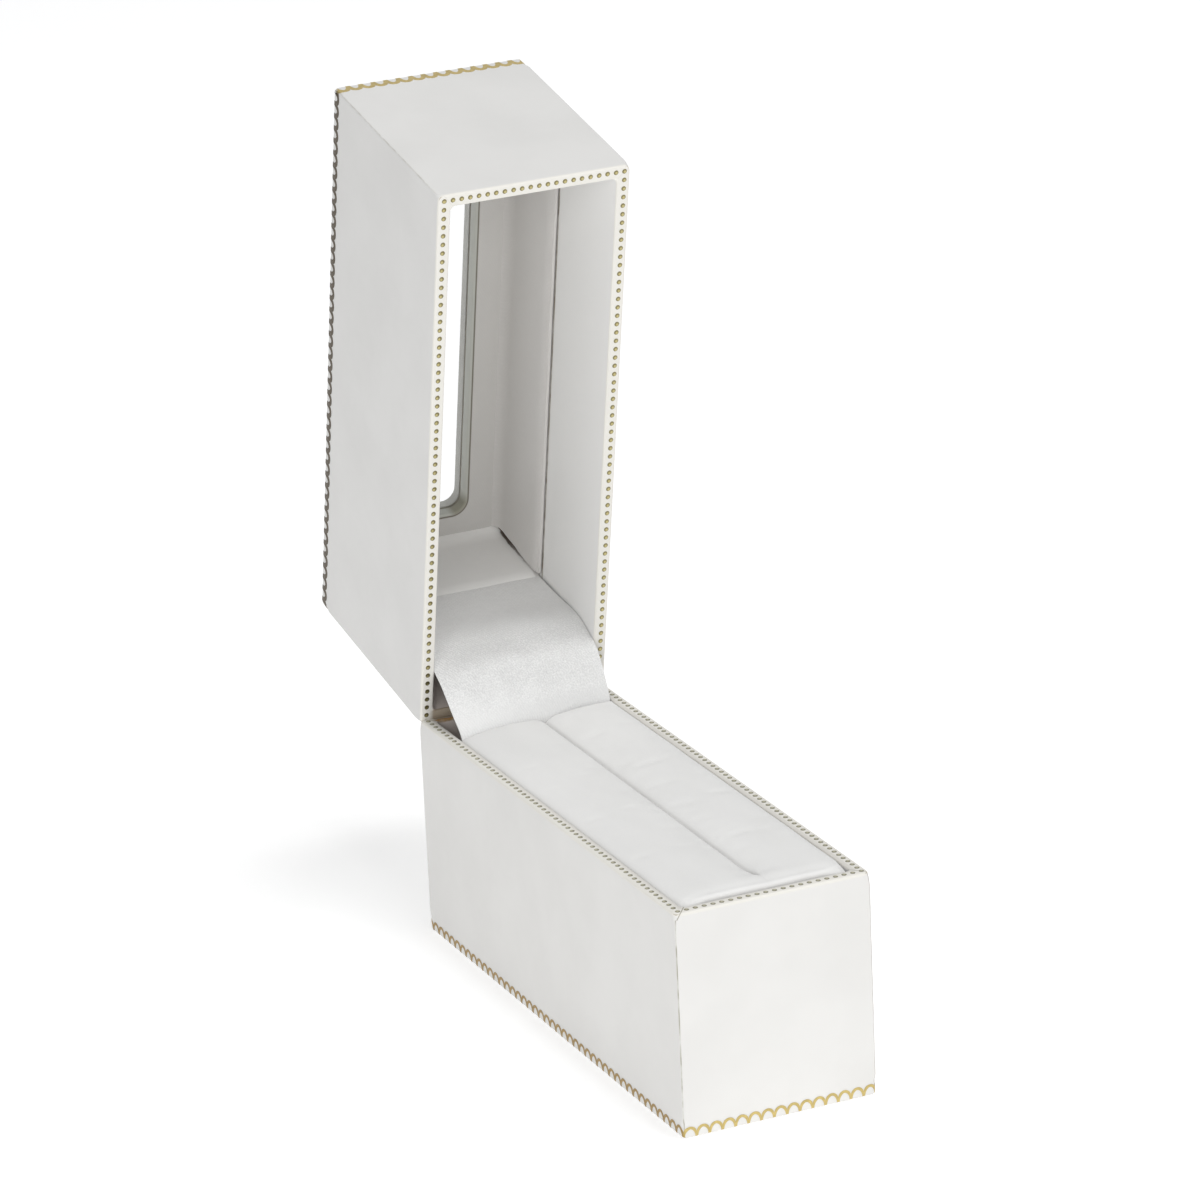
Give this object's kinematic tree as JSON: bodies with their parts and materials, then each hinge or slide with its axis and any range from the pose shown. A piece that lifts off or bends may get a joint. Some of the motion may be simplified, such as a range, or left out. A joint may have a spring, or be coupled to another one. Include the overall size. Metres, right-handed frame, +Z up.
{
  "type": "jewelry gift box",
  "caption": "Tall narrow hinged gift box with a slotted velvet pad, a deep lid with a long window, a satin hinge flap and gold foil dots and scallops.",
  "frame": {"origin": "middle of the underside of the base", "axes": "+Z up, +Y towards the hinge end, +X to the right seen from the front end, the lid drawn open"},
  "size_m": [0.035, 0.1446, 0.1475],
  "materials": {
    "board": "plain moulded board",
    "covering_paper": "smooth matte white covering paper, fine grain",
    "base_paper": "plain matte",
    "gold_foil": "hot-stamped metallic gold foil",
    "card": "plain grey-buff card",
    "foam": "open-cell foam",
    "velvet": "short-pile white velvet",
    "satin": "white satin with a fine diagonal weave and soft sheen",
    "lining_satin": "white satin laid over card",
    "clear_sheet": "clear glossy sheet",
    "hinge_steel": "plated spring steel",
    "rivet_brass": "brassed"
  },
  "bodies": {
    "base": {"base_tray": "board", "base_wrap": "covering_paper", "base_bottom_sheet": "base_paper", "base_rim_dots": "gold_foil", "base_scallops": "gold_foil", "pad_riser": "card", "pad_board": "card", "pad_foam": "foam", "pad_cover": "velvet", "hinge_base_leaf": "hinge_steel", "hinge_pin": "hinge_steel", "hinge_spring": "hinge_steel", "base_hinge_rivets": "rivet_brass", "satin_flap": "satin"},
    "lid": {"lid_shell": "board", "lid_wrap": "covering_paper", "lid_rim_dots": "gold_foil", "lid_scallops": "gold_foil", "window_pane": "clear_sheet", "lid_top_lining": "lining_satin", "lid_lining_left": "lining_satin", "lid_lining_right": "lining_satin", "lid_lining_front": "lining_satin", "lid_lining_hinge": "lining_satin", "lid_hinge_block": "card", "hinge_lid_leaf": "hinge_steel", "lid_hinge_rivets": "rivet_brass"}
  },
  "joints": [
    {"name": "lid_hinge", "type": "hinge", "parent": "base", "child": "lid", "pos_m": [0, 0.0501, 0.03947], "axis": [1, 0, 0], "range_deg": [0, 78.3], "deforming": ["satin_flap"]}
  ]
}
